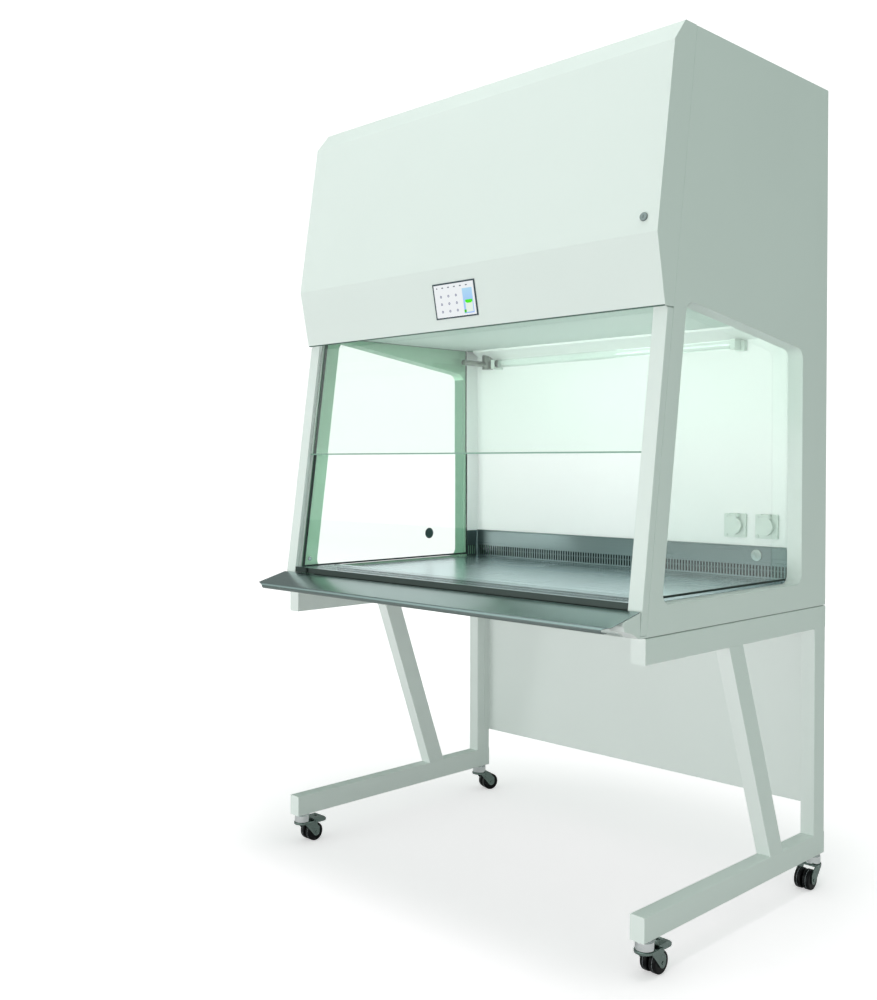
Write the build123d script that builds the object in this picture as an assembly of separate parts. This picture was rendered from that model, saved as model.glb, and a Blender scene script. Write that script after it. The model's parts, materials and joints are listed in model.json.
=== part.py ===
from build123d import *
import math
import os

# Biological safety cabinet on a castored stand. Millimetres, +Z up, +X to the right seen from the front,
# +Y to the rear. Everything is modelled about the middle of the stand; the export moves the whole so the
# origin lies under the middle of its bounding box.

# Overall sizes
width = 1300.0
stand_depth = 850.0
castor_height = 87.0
stand_height = 683.5
cabinet_height = 1410.5
lean = math.radians(7.9)

# Stand tubes and panel
tube_tall = 60.0
tube_wide = 40.0
tube_round = 3.0
brace_foot_y = 132.0
brace_top_y = -74.0
modesty_lift = 127.0
modesty_sheet = 1.5
modesty_flange = 25.0

# Castors
castor_in = 20.0
castor_front_in = 30.0
castor_rear_in = 30.0
castor_trail = 36.0
wheel_radius = 27.5
wheel_width = 19.0
wheel_spacing = 24.0
wheel_round = 4.0
axle_radius = 4.0
hub_radius = 11.0
fork_sheet = 2.5
cup_radius = 22.5
kingpin_radius = 6.0
running_fit = 0.05
head_gap = 1.0
rear_left_heading = 72.0
front_heading = 90.0
rear_right_heading = -90.0

# Brake pedal
pedal_sheet = 2.0
pedal_pivot_u = 34.0
pedal_pivot_z = 61.0
pedal_tail = 75.0
pedal_window = 10.0
rivet_radius = 2.5

# Cabinet walls
wall_outer = 43.0
pane = 6.0
pane_play = 1.0
sheet = 2.0
thin = 1.5
fit_gap = 0.3
side_edge_in = 2.5
post_reach = 24.0
post_wide = 40.0
post_bottom_lift = 7.0
post_top_drop = 16.0

# Window in the side panels
window_front_in = 52.0
window_bottom_lift = 68.5
window_rear_in = 137.0
window_top_lift = 731.5
window_round = 27.0

# Sash
sash_thick = 6.0
sash_behind = 12.0
sash_bite = 4.0
sash_length = 700.0
sash_open = 414.5
sash_play = 0.5
sash_closed = 80.5

# Hood profile, measured up from the cabinet underside and out from the front of the stand
fascia_bottom_lift = 747.7
fascia_reach = 11.2
fold_lift = 910.5
fold_in = 39.3
brow_lift = 1356.2
brow_in = 105.8
crown_in = 149.4
hood_sheet = 2.0
hood_gap = 1.0
hood_corner = 8.0
hinge_drop = 3.0
knuckle_radius = 2.7
hinge_pin_radius = 1.3

# Screen and key lock
screen_wide = 155.0
screen_tall = 95.0
screen_rim = 4.0
screen_lift = 825.0
lock_from_side = 40.0
lock_lift = 948.0
lock_radius = 10.0
lock_body_radius = 8.0

# Work chamber
worktop_lift = 67.5
tray_depth_front = -283.0
tray_depth_rear = 346.0
tray_half = 250.0
tray_edge = 16.0
ceiling_lift = 775.5
liner_y = 350.0
liner_return = 52.0
slot_panel_top_lift = 156.5
slot_pitch = 10.0
slot_wide = 5.0
slot_low_lift = 73.5
slot_high_lift = 104.5
grille_front_y = -436.5
grille_pitch = 14.0
grille_slot = 5.0
grille_rows = 3
armrest_back_y = -445.0
armrest_front_y = -557.0
armrest_lift = 62.0
armrest_slope = math.radians(14.2)
cheek_tip_y = -509.0

# Levels that follow from the sizes above
z_foot = castor_height
z_beam = castor_height + stand_height - tube_tall
z_cab = castor_height + stand_height
z_top = z_cab + cabinet_height
y_front = -stand_depth / 2
y_rear = stand_depth / 2
x_side = width / 2
x_inner = x_side - tube_wide
x_wall = x_side - wall_outer
chamber_half = x_wall - pane - pane_play
lock_x = x_side - lock_from_side
z_work = z_cab + worktop_lift
z_ceiling = z_cab + ceiling_lift


def panel_edge(z):
    return y_front + side_edge_in + (z - z_cab) * math.tan(lean)


def post_front(z):
    return panel_edge(z) - post_reach


def block(x0, x1, y0, y1, z0, z1):
    return Pos((x0 + x1) / 2, (y0 + y1) / 2, (z0 + z1) / 2) * Box(x1 - x0, y1 - y0, z1 - z0)


def outline(points):
    return make_face(Polyline(*points, close=True))


def along_x(face, x0, x1):
    return extrude(Plane.YZ.offset(x0) * face, amount=x1 - x0)


def along_z(face, z0, z1):
    return extrude(Plane.XY.offset(z0) * face, amount=z1 - z0)


def along_y(face, y0, y1):
    wall = Plane(origin=(0, y1, 0), x_dir=(1, 0, 0), z_dir=(0, -1, 0))
    return extrude(wall * face, amount=y1 - y0)


def rod(start, end, radius):
    start = Vector(start)
    end = Vector(end)
    axis = end - start
    return Plane(origin=start, z_dir=axis) * Cylinder(
        radius, axis.length, align=(Align.CENTER, Align.CENTER, Align.MIN))


def bent(path, t, r):
    # Section of a bent sheet: path is one face, the material lies on its left, r is the inner bend radius.
    near = []
    far = []
    last = len(path) - 1
    for i, (a, b) in enumerate(path):
        if i == 0 or i == last:
            j = 1 if i == 0 else last
            du = path[j][0] - path[j - 1][0]
            dv = path[j][1] - path[j - 1][1]
            length = math.hypot(du, dv)
            near.append(((a, b),))
            far.append(((a - dv / length * t, b + du / length * t),))
            continue
        d1 = (a - path[i - 1][0], b - path[i - 1][1])
        d2 = (path[i + 1][0] - a, path[i + 1][1] - b)
        l1 = math.hypot(*d1)
        l2 = math.hypot(*d2)
        d1 = (d1[0] / l1, d1[1] / l1)
        d2 = (d2[0] / l2, d2[1] / l2)
        turn = math.atan2(d1[0] * d2[1] - d1[1] * d2[0], d1[0] * d2[0] + d1[1] * d2[1])
        side = 1 if turn > 0 else -1
        r_near = r + t if turn > 0 else r
        r_far = r if turn > 0 else r + t
        back = r_near * math.tan(abs(turn) / 2)
        p = (a - d1[0] * back, b - d1[1] * back)
        q = (a + d2[0] * back, b + d2[1] * back)
        c = (p[0] - d1[1] * r_near * side, p[1] + d1[0] * r_near * side)
        reach = math.hypot(a - c[0], b - c[1])
        out = ((a - c[0]) / reach, (b - c[1]) / reach)
        near.append((p, (c[0] + out[0] * r_near, c[1] + out[1] * r_near), q))
        far.append((
            (p[0] - d1[1] * t, p[1] + d1[0] * t),
            (c[0] + out[0] * r_far, c[1] + out[1] * r_far),
            (q[0] - d2[1] * t, q[1] + d2[0] * t)))
    run = near + [tuple(reversed(step)) for step in reversed(far)]
    edges = []
    for i, step in enumerate(run):
        if len(step) == 3:
            edges.append(ThreePointArc(*step))
        edges.append(Line(step[-1], run[(i + 1) % len(run)][0]))
    return make_face(edges)


def mirrored(solid):
    return solid.mirror(Plane.YZ)


parts = {}

# Stand frames: foot, rear post, top beam and the leaning brace, welded from one tube section
def tube_y(z0):
    body = block(x_inner, x_side, y_front, y_rear, z0, z0 + tube_tall)
    return fillet(body.edges().filter_by(Axis.Y), tube_round)


post = block(x_inner, x_side, y_rear - tube_tall, y_rear, z_foot + tube_tall / 2, z_beam + tube_tall / 2)
post = fillet(post.edges().filter_by(Axis.Z), tube_round)
brace_wide = tube_tall / math.cos(math.atan2(brace_foot_y - brace_top_y, z_beam - z_foot - tube_tall))
brace = along_x(outline([
    (brace_foot_y, z_foot + tube_tall - 1), (brace_foot_y + brace_wide, z_foot + tube_tall - 1),
    (brace_top_y + brace_wide, z_beam + 1), (brace_top_y, z_beam + 1)]), x_inner, x_side)
stand_right = tube_y(z_foot) + tube_y(z_beam) + post + brace
parts["stand_frame_right"] = stand_right
parts["stand_frame_left"] = mirrored(stand_right)

# Modesty panel: one folded sheet between the rear posts
flange_y = y_rear - 1 - modesty_flange
parts["modesty_panel"] = along_z(bent([
    (x_inner, flange_y), (x_inner, y_rear - 1), (-x_inner, y_rear - 1), (-x_inner, flange_y)],
    modesty_sheet, 2.0), z_foot + modesty_lift, z_cab)

# Castors, each built about its own swivel axis with the wheel trailing along +U
z_bridge = castor_height - 23.5
leg_out = wheel_spacing / 2 + wheel_width / 2 + 1.0
leg_face = leg_out + fork_sheet
bridge_low = z_bridge - 6.5


def castor_head():
    z_ring = z_bridge + head_gap
    cup = Pos(0, 0, z_ring) * Cylinder(cup_radius, castor_height - 2 - z_ring, align=(Align.CENTER, Align.CENTER, Align.MIN))
    cup = fillet(cup.edges().group_by(Axis.Z)[-1], 3)
    neck = rod((0, 0, castor_height - 3), (0, 0, castor_height), cup_radius - 4)
    kingpin = rod((0, 0, z_bridge - fork_sheet - 0.5), (0, 0, z_ring + 1), kingpin_radius)
    collar = rod((0, 0, z_bridge - fork_sheet - 2.5), (0, 0, z_bridge - fork_sheet - 0.5), kingpin_radius + 4)
    return cup + neck + kingpin + collar


def castor_fork():
    pan = Pos(0, 0, bridge_low) * Cylinder(leg_face, z_bridge - bridge_low, align=(Align.CENTER, Align.CENTER, Align.MIN))
    pan = fillet(pan.edges().group_by(Axis.Z)[-1], 2)
    back = block(0, 28, -leg_face, leg_face, bridge_low, z_bridge)
    back = fillet(back.edges().filter_by(Axis.X).group_by(Axis.Z)[-1], 2)
    hollow = Pos(0, 0, bridge_low - 1) * Cylinder(leg_out, z_bridge - fork_sheet - bridge_low + 1, align=(Align.CENTER, Align.CENTER, Align.MIN))
    hollow += block(0, 40, -leg_out, leg_out, bridge_low - 1, z_bridge - fork_sheet)
    low = wheel_radius - 12.0
    leg = outline([(-5, bridge_low + 3), (30, bridge_low + 3), (castor_trail + 12, wheel_radius + 14),
                   (castor_trail + 12, wheel_radius), (castor_trail - 9, wheel_radius - 8), (-5, bridge_low)])
    tip = Pos(castor_trail, wheel_radius) * Circle(12)
    leg = Plane.XZ * (leg + tip)
    legs = extrude(leg, amount=leg_face, both=True) - block(-30, 80, -leg_out, leg_out, low - 5, z_bridge)
    axle = rod((castor_trail, -leg_face - 1.5, wheel_radius), (castor_trail, leg_face + 1.5, wheel_radius), axle_radius)
    bore = rod((0, 0, bridge_low - 5), (0, 0, z_bridge + 5), kingpin_radius + running_fit)
    return pan + back - hollow - bore + legs + axle


def castor_wheel():
    half = wheel_width / 2
    body = rod((castor_trail, -wheel_spacing / 2 - half, wheel_radius),
               (castor_trail, wheel_spacing / 2 + half, wheel_radius), hub_radius)
    for side in (-1, 1):
        mid = side * wheel_spacing / 2
        tyre = rod((castor_trail, mid - half, wheel_radius), (castor_trail, mid + half, wheel_radius), wheel_radius)
        body += fillet(tyre.edges().filter_by(GeomType.CIRCLE), wheel_round)
    return body - rod((castor_trail, -60, wheel_radius), (castor_trail, 60, wheel_radius), axle_radius + running_fit)


def brake_pedal():
    cheek_out = leg_out - fit_gap
    roof = castor_height - 17.5
    plate = outline([(25, roof - 2), (25, roof), (pedal_tail - 8, roof), (pedal_tail, roof - 6),
                     (pedal_tail, pedal_pivot_z - 4), (pedal_tail - 4, pedal_pivot_z - 7),
                     (castor_trail + 14, pedal_pivot_z - 7), (pedal_pivot_u - 6, pedal_pivot_z - 3),
                     (pedal_pivot_u - 6, roof - 2)])
    body = extrude(Plane.XZ * plate, amount=cheek_out, both=True)
    inner = outline([(0, roof - pedal_sheet), (pedal_tail - 9, roof - pedal_sheet), (pedal_tail - pedal_sheet, roof - 8),
                     (pedal_tail - pedal_sheet, 30), (0, 30)])
    body -= extrude(Plane.XZ * inner, amount=cheek_out - pedal_sheet, both=True)
    body -= block(pedal_pivot_u + 13, pedal_pivot_u + 13 + pedal_window, -pedal_window / 2, pedal_window / 2, roof - 5, roof + 5)
    shoe = block(castor_trail + 13, castor_trail + 17, pedal_sheet - cheek_out, cheek_out - pedal_sheet, pedal_pivot_z - 7.2, pedal_pivot_z)
    return body + shoe - rod((pedal_pivot_u, -60, pedal_pivot_z), (pedal_pivot_u, 60, pedal_pivot_z), rivet_radius + running_fit)


def placed(solid, x, y, heading):
    return Pos(x, y, 0) * Rot(0, 0, heading) * solid


castor_x = x_side - castor_in
castor_spots = {
    "fl": (-castor_x, y_front + castor_front_in, front_heading),
    "fr": (castor_x, y_front + castor_front_in, front_heading),
    "rl": (-castor_x, y_rear - castor_rear_in, rear_left_heading),
    "rr": (castor_x, y_rear - castor_rear_in, rear_right_heading)}
head = castor_head()
fork = castor_fork()
rivet = rod((pedal_pivot_u, -leg_face - 1, pedal_pivot_z), (pedal_pivot_u, leg_face + 1, pedal_pivot_z), rivet_radius)
ear = Plane.XZ * (outline([(20, bridge_low), (20, z_bridge), (30, z_bridge), (41, pedal_pivot_z), (41, bridge_low - 6)]))
ear = extrude(ear, amount=leg_face, both=True) - block(0, 60, -leg_out, leg_out, 0, 100)
braked = fork + ear + rivet
wheel = castor_wheel()
pedal = brake_pedal()
parts["castor_heads"] = Compound([placed(head, *spot) for spot in castor_spots.values()])
for name, spot in castor_spots.items():
    front = name in ("fl", "fr")
    parts["castor_fork_" + name] = placed(braked if front else fork, *spot)
    parts["castor_wheels_" + name] = placed(wheel, *spot)
    if front:
        parts["brake_pedal_" + name] = placed(pedal, *spot)

# Side panels with the rounded window cut straight through
def rounded(points, r):
    face = outline(points)
    return fillet(face.vertices(), r)


z_sill = z_cab + window_bottom_lift
y_sight = y_rear - window_rear_in
z_mid = z_cab + window_top_lift


def window_top(y):
    return z_mid - (y - 6.5) * math.tan(lean)


top_front_z = z_mid
for step in range(30):
    top_front_z = window_top(panel_edge(top_front_z) + window_front_in)
window = rounded([
    (panel_edge(z_sill) + window_front_in, z_sill), (y_sight, z_sill), (y_sight, window_top(y_sight)),
    (panel_edge(top_front_z) + window_front_in, top_front_z)], window_round)
panel = along_x(outline([(panel_edge(z_cab), z_cab), (y_rear, z_cab), (y_rear, z_top), (panel_edge(z_top), z_top)]), x_wall, x_side)
panel -= along_x(window, x_wall - 5, x_side + 5)

# Side panes and their gaskets, seated against the panels from inside
z_pane = z_cab + 80.5
y_pane = liner_y - liner_return - 1


def pane_outline(grow):
    return outline([(panel_edge(z_pane) + 3 - grow, z_pane - grow), (y_pane + grow, z_pane - grow),
                    (y_pane + grow, z_ceiling + grow), (panel_edge(z_ceiling) + 3 - grow, z_ceiling + grow)])


glass = along_x(pane_outline(0), x_wall - fit_gap - pane, x_wall - fit_gap)
ring = along_x(pane_outline(5), chamber_half, x_wall) - along_x(pane_outline(0), chamber_half - 1, x_wall + 1)
parts["side_glass_right"] = glass
parts["side_glass_left"] = mirrored(glass)
parts["glass_gaskets"] = Compound([ring, mirrored(ring)])

# Sash guides: white posts with the sash slot in their inner faces
z_post = z_cab + post_bottom_lift
z_post_top = z_top - post_top_drop
z_fascia = z_cab + fascia_bottom_lift
guide = along_x(outline([(post_front(z_post), z_post), (panel_edge(z_post), z_post),
                         (panel_edge(z_post_top), z_post_top), (post_front(z_post_top), z_post_top)]), x_inner, x_side)
guide -= block(x_side - hood_sheet - 2, x_side + 5, y_front - 60, y_rear, z_fascia - 2, z_top)
z_slot = z_cab + 76
slot = along_x(outline([
    (post_front(z_slot) + sash_behind - sash_play, z_slot), (post_front(z_slot) + sash_behind + sash_thick + sash_play, z_slot),
    (post_front(z_top) + sash_behind + sash_thick + sash_play, z_top), (post_front(z_top) + sash_behind - sash_play, z_top)]),
    x_inner - 5, x_inner + sash_bite + sash_play)
guide -= slot
parts["sash_guide_right"] = guide
parts["sash_guide_left"] = mirrored(guide)

# Sash glass at the opening seen in the photo, with the clamp bar on its hidden top edge
z_sash = z_cab + sash_open
z_sash_top = z_sash + sash_length * math.cos(lean)
half_sash = x_inner + sash_bite


def sash_line(z, depth):
    return post_front(z) + sash_behind + depth


parts["sash_glass"] = along_x(outline([
    (sash_line(z_sash, 0), z_sash), (sash_line(z_sash, sash_thick), z_sash),
    (sash_line(z_sash_top, sash_thick), z_sash_top), (sash_line(z_sash_top, 0), z_sash_top)]), -half_sash, half_sash)
z_clamp = z_sash_top - 30
clamp = outline([(sash_line(z_clamp, -4), z_clamp), (sash_line(z_clamp, 0), z_clamp), (sash_line(z_sash_top, 0), z_sash_top),
                 (sash_line(z_sash_top, sash_thick), z_sash_top), (sash_line(z_clamp, sash_thick), z_clamp),
                 (sash_line(z_clamp, sash_thick + 8), z_clamp), (sash_line(z_sash_top + 4, sash_thick + 8), z_sash_top + 4),
                 (sash_line(z_sash_top + 4, -4), z_sash_top + 4)])
clamp_half = chamber_half - 2
parts["sash_clamp_bar"] = along_x(clamp, -clamp_half, clamp_half)

# Sash drive: a shaft with a belt pulley at each end, its ends in the side panels, and two closed belts over
# it and over an idler post on each panel
pulley_radius = 15.0
belt_thick = 1.5
belt_out = chamber_half - 3
belt_in = chamber_half - 13
belt_back = sash_thick + 10 + belt_thick + pulley_radius
shaft_radius = 5.0
bearing_depth = 20.0
z_shaft = z_top - 40
y_shaft = sash_line(z_shaft, belt_back)
z_tail = z_ceiling + 22
y_tail = sash_line(z_tail, belt_back)
shaft_half = x_wall + bearing_depth - 2
shaft = rod((-shaft_half, y_shaft, z_shaft), (shaft_half, y_shaft, z_shaft), shaft_radius)
for x0, x1 in ((-belt_out, -belt_in), (belt_in, belt_out)):
    shaft += rod((x0, y_shaft, z_shaft), (x1, y_shaft, z_shaft), pulley_radius - 0.2)
    shaft += rod((x0 - 1.5, y_shaft, z_shaft), (x0, y_shaft, z_shaft), pulley_radius + 2)
parts["sash_shaft"] = shaft
bore = rod((x_wall - 1, y_shaft, z_shaft), (x_wall + bearing_depth, y_shaft, z_shaft), shaft_radius + running_fit)
idler = rod((belt_in, y_tail, z_tail), (x_wall + 1, y_tail, z_tail), pulley_radius - 0.2)
panel = panel - bore + idler
parts["side_panel_right"] = panel
parts["side_panel_left"] = mirrored(panel)


def loop(r):
    ends = along_x(Pos(y_shaft, z_shaft) * Circle(r) + Pos(y_tail, z_tail) * Circle(r), 0, belt_out - belt_in)
    across = math.atan2(z_shaft - z_tail, y_shaft - y_tail)
    ny = math.sin(across) * r
    nz = -math.cos(across) * r
    return ends + along_x(outline([(y_shaft + ny, z_shaft + nz), (y_tail + ny, z_tail + nz),
                                   (y_tail - ny, z_tail - nz), (y_shaft - ny, z_shaft - nz)]), 0, belt_out - belt_in)


belt = loop(pulley_radius + belt_thick) - loop(pulley_radius)
parts["sash_belts"] = Compound([Pos(belt_in, 0, 0) * belt, Pos(-belt_out, 0, 0) * belt])

# Front hood: one folded sheet with side returns back to the side panels, lifting on three pin hinges
hinge_y = panel_edge(z_top)
hinge_z = z_top - hinge_drop
strip_back = hinge_y - knuckle_radius - 0.6
z_fold = z_cab + fold_lift
z_brow = z_cab + brow_lift
y_fascia = post_front(z_fascia) - fascia_reach
hood_path = [(y_fascia + 8, z_fascia), (y_fascia, z_fascia), (y_front + fold_in, z_fold),
             (y_front + brow_in, z_brow), (y_front + crown_in, z_top), (strip_back, z_top)]
hood = along_x(bent(list(reversed(hood_path)), hood_sheet, 3.0), -x_side, x_side)
cheek = along_x(outline([(y_fascia + 1, z_fascia), (y_front + fold_in + 1, z_fold), (y_front + brow_in + 1.5, z_brow),
                         (y_front + crown_in + 1, z_top - 1), (hinge_y - 4, z_top - 1), (hinge_y - 4, hinge_z - 2),
                         (panel_edge(hinge_z - 2) - hood_gap, hinge_z - 2), (panel_edge(z_fascia) - hood_gap, z_fascia)]),
                x_side - hood_sheet, x_side)
hood = hood + cheek + mirrored(cheek)
z_screen = z_cab + screen_lift
fascia_tilt = math.atan2(y_fascia - y_front - fold_in, z_fold - z_fascia)
y_screen = y_fascia - (z_screen - z_fascia) * math.tan(fascia_tilt)
screen_plane = Plane(origin=(0, y_screen, z_screen), x_dir=(1, 0, 0), z_dir=(0, -math.cos(fascia_tilt), -math.sin(fascia_tilt)))
hood -= screen_plane * Box(screen_wide - 2 * screen_rim + 1, screen_tall - 2 * screen_rim + 1, 30)
front_tilt = math.atan2(brow_in - fold_in, z_brow - z_fold)
z_lock = z_cab + lock_lift
y_lock = y_front + fold_in + (z_lock - z_fold) * math.tan(front_tilt)
lock_plane = Plane(origin=(lock_x, y_lock, z_lock), x_dir=(1, 0, 0), z_dir=(0, -math.cos(front_tilt), math.sin(front_tilt)))
hood -= lock_plane * Cylinder(lock_body_radius + running_fit, 20)
hinge_from_side = 200.0
hinge_spots = (hinge_from_side - x_side, 0.0, x_side - hinge_from_side)
hinges = []
top_leaf_z = z_top - sheet - thin
for x in hinge_spots:
    for side in (-1, 1):
        x0 = x + side * 23 - 8
        ear = rod((x0, hinge_y, hinge_z), (x0 + 16, hinge_y, hinge_z), knuckle_radius)
        leaf = block(x0, x0 + 16, hinge_y - 22, hinge_y, z_top - hood_sheet - thin, z_top - hood_sheet)
        bore = rod((x0 - 1, hinge_y, hinge_z), (x0 + 17, hinge_y, hinge_z), hinge_pin_radius + running_fit)
        hood = hood + (ear + leaf - bore)
    still = rod((x - 14, hinge_y, hinge_z), (x + 14, hinge_y, hinge_z), knuckle_radius)
    still += block(x - 14, x + 14, hinge_y, hinge_y + 24, top_leaf_z, z_top - sheet)
    still += rod((x - 31, hinge_y, hinge_z), (x + 31, hinge_y, hinge_z), hinge_pin_radius)
    hinges.append(still)
parts["front_hood"] = hood
parts["hood_hinges"] = Compound(hinges)

# Touch screen in its frame, let into the fascia
frame = screen_plane * Pos(0, 0, 1.25) * Box(screen_wide, screen_tall, 2.5)
frame -= screen_plane * Box(screen_wide - 2 * screen_rim, screen_tall - 2 * screen_rim, 30)
parts["screen_frame"] = frame
parts["touch_screen"] = screen_plane * Pos(0, 0, -2) * Box(
    screen_wide - 2 * screen_rim - fit_gap, screen_tall - 2 * screen_rim - fit_gap, 8)

# Key lock: barrel through the hood sheet with a cam behind it
lock = Pos(0, 0, 2) * Cylinder(lock_radius, 4)
lock = fillet(lock.edges().group_by(Axis.Z)[-1], 1)
lock += Pos(0, 0, -12) * Cylinder(lock_body_radius, 24)
lock += Pos(0, 12, -23) * Box(10, 34, 2)
lock -= Pos(0, 0, 4) * Box(1.6, 8, 3)
parts["key_lock"] = lock_plane * lock

# Rear panel and top panel with the exhaust opening and its guard
parts["back_panel"] = block(-x_wall, x_wall, y_rear - sheet, y_rear, z_cab, z_top - sheet)
exhaust_half = 270.0
exhaust_front = -110.0
exhaust_rear = 250.0
exhaust = (-exhaust_half, exhaust_half, exhaust_front, exhaust_rear)
guard_rim = 12.0
guard_bars = 17
bar_half = 1.5
top = block(-x_wall, x_wall, hinge_y + knuckle_radius + 0.6, y_rear, z_top - sheet, z_top)
top -= block(*exhaust, z_top - 10, z_top + 10)
parts["top_panel"] = top
guard = block(-exhaust_half - guard_rim, exhaust_half + guard_rim, exhaust_front - guard_rim, exhaust_rear + guard_rim,
              z_top - sheet - 4, z_top - sheet)
guard -= block(*exhaust, z_top - 20, z_top)
for i in range(guard_bars):
    x = -exhaust_half + (i + 1) * 2 * exhaust_half / (guard_bars + 1)
    guard += block(x - bar_half, x + bar_half, exhaust_front - 1, exhaust_rear + 1, z_top - sheet - 4, z_top - sheet - 1)
parts["exhaust_guard"] = guard

# Armrest: bent sheet over the cheeks, front edge curled under, with a stiffener welded below
z_arm = z_cab + armrest_lift


def arm_z(y):
    return z_arm - (armrest_back_y - y) * math.tan(armrest_slope)


curl_y = armrest_front_y + 17
arm_path = [(armrest_back_y, z_arm), (curl_y, arm_z(curl_y)), (armrest_front_y, arm_z(curl_y) - 11),
            (armrest_front_y + 9, arm_z(curl_y) - 17), (armrest_front_y + 30, arm_z(curl_y) - 17)]
arm = along_x(bent(arm_path, sheet, 2.5), -x_side, x_side)
stiff_y = armrest_back_y - 26
stiffener = along_x(outline([(stiff_y, z_cab + 24), (stiff_y + thin, z_cab + 24),
                             (stiff_y + thin, arm_z(stiff_y + thin) - 1), (stiff_y, arm_z(stiff_y) - 1)]),
                    -x_inner + 2, x_inner - 2)
arm += stiffener
for side in (-1, 1):
    arm -= block(side * x_side - 7, side * x_side + 7, cheek_tip_y + 4, cheek_tip_y + 10, z_cab, z_arm)
parts["armrest"] = arm

# Base housing: floor sheet, front wall and the two cheeks that carry the armrest
under = sheet / math.cos(armrest_slope)
cheek_tip_z = z_cab + 36.5
nose = outline([(post_front(z_post) - 0.3, arm_z(post_front(z_post) - 0.3) - under), (cheek_tip_y + 17, arm_z(cheek_tip_y + 17) - under),
                (cheek_tip_y + 3, cheek_tip_z + 8), (cheek_tip_y, cheek_tip_z), (cheek_tip_y + 6, cheek_tip_z - 13),
                (cheek_tip_y + 33, cheek_tip_z - 20), (post_front(z_post) - 0.3, z_cab),
                (y_front + 2, z_cab), (y_front + 2, z_post - 0.3), (post_front(z_post) - 0.3, z_post - 0.3)])
nose = along_x(nose, x_inner, x_side)
base = block(-x_side, x_side, y_front - 22, y_front + 2, z_cab, z_cab + sheet)
base += block(-x_wall, x_wall, y_front + 1, y_rear - sheet, z_cab, z_cab + sheet)
base += block(-x_inner + 0.5, x_inner - 0.5, y_front, y_front + thin, z_cab, z_arm - 4)
parts["base_housing"] = base + nose + mirrored(nose)

# Drain pan under the worktop, with two bearers for the tray joints
pan_half = chamber_half - 2
pan_front = y_front + 7
z_pan = z_cab + sheet
z_seat = z_work - tray_edge
pan = block(-pan_half, pan_half, pan_front, tray_depth_rear, z_pan, z_seat)
pan -= block(-pan_half + thin, pan_half - thin, pan_front + thin, tray_depth_rear - thin, z_pan + thin, z_seat + 1)
for x in (-tray_half, tray_half):
    pan += block(x - 4, x + 4, pan_front, tray_depth_rear, z_pan, z_seat)
parts["drain_pan"] = pan

# Three lift-out worktop trays
def tray(x0, x1):
    body = block(x0, x1, tray_depth_front, tray_depth_rear, z_seat, z_work)
    return body - block(x0 + thin, x1 - thin, tray_depth_front + thin, tray_depth_rear - thin, z_seat - 1, z_work - thin)


parts["worktop_left"] = tray(-pan_half, -tray_half - 0.4)
parts["worktop_middle"] = tray(-tray_half + 0.4, tray_half - 0.4)
parts["worktop_right"] = tray(tray_half + 0.4, pan_half)

# Front intake grille: slanted slots in a rising sheet with a rolled front lip
grille_back = tray_depth_front - 0.6
grille_path = [(grille_back, z_work + 1), (grille_front_y + 20, z_work + 10), (grille_front_y, z_work + 11),
               (grille_front_y, z_work - 5)]
grille_face = bent(grille_path, sheet, 2.0)
grille = along_x(grille_face, -pan_half, pan_half)
row_span = (grille_back - grille_front_y - 26) / grille_rows
slant = 16.0
columns = int(2 * (pan_half - 20) / grille_pitch)
cuts = []
for row in range(grille_rows):
    y0 = grille_back - 5 - row * row_span
    y1 = y0 - row_span + 6
    for i in range(columns):
        x = -pan_half + 16 + i * grille_pitch
        if x + slant + grille_slot > pan_half - 10:
            break
        cuts.append(outline([(x, y1), (x + grille_slot, y1), (x + grille_slot + slant, y0), (x + slant, y0)]))
grille -= [along_z(cut, z_work - 8, z_work + 14) for cut in cuts]
for side in (-1, 1):
    x = side * (pan_half - thin / 2)
    grille += along_x(outline([(grille_back, z_seat), (grille_back, z_work), (grille_front_y + 20, z_work + 9),
                               (grille_front_y + 20, z_seat)]), x - thin / 2, x + thin / 2)
grille += block(-x_inner + 0.5, x_inner - 0.5, grille_front_y, grille_front_y + sheet, z_work - 5, z_work + 7)
parts["front_grille"] = grille

# Rubber block against the front strip beside the left post
parts["sash_stop_block"] = fillet(block(-chamber_half, -chamber_half + 50, grille_front_y - 7, grille_front_y, z_work - 4.5, z_work + 11).edges(), 1.5)

# Back of the chamber: white liner above, slotted stainless panel below
z_slot_top = z_cab + slot_panel_top_lift
half_liner = chamber_half - fit_gap


def u_section(half, y_back, y_fore, t):
    return bent([(half, y_fore), (half, y_back), (-half, y_back), (-half, y_fore)], t, 3.0)


parts["back_liner"] = along_z(u_section(half_liner, liner_y + sheet, liner_y - liner_return, sheet), z_slot_top, z_ceiling)
slotted = along_z(u_section(half_liner, liner_y, liner_y - liner_return, thin), z_work + 0.5, z_slot_top)
slotted += rod((-half_liner + 5, liner_y - 3, z_slot_top), (half_liner - 5, liner_y - 3, z_slot_top), 2.2)
z_low = z_cab + slot_low_lift
z_high = z_cab + slot_high_lift
count = int((half_liner - 12) / slot_pitch)
openings = [block(i * slot_pitch - slot_wide / 2, i * slot_pitch + slot_wide / 2, liner_y - 6, liner_y + 3, z_low, z_high)
            for i in range(-count, count + 1)]
for side in (-1, 1):
    for i in range(4):
        y = liner_y - 14 - i * slot_pitch
        openings.append(block(side * half_liner - 8, side * half_liner + 8, y - slot_wide / 2, y + slot_wide / 2, z_low, z_high))
slotted -= openings
latch_from_side = 120.0
latch_x = chamber_half - latch_from_side
latch_z = z_cab + 132.5
slotted -= rod((latch_x, liner_y - 20, latch_z), (latch_x, liner_y + 20, latch_z), 8 + running_fit)
slotted += block(-half_liner + 8, half_liner - 8, liner_y - 0.2, liner_y + 1.0, z_low + 17, z_low + 19)
parts["slotted_back_panel"] = slotted

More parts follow.
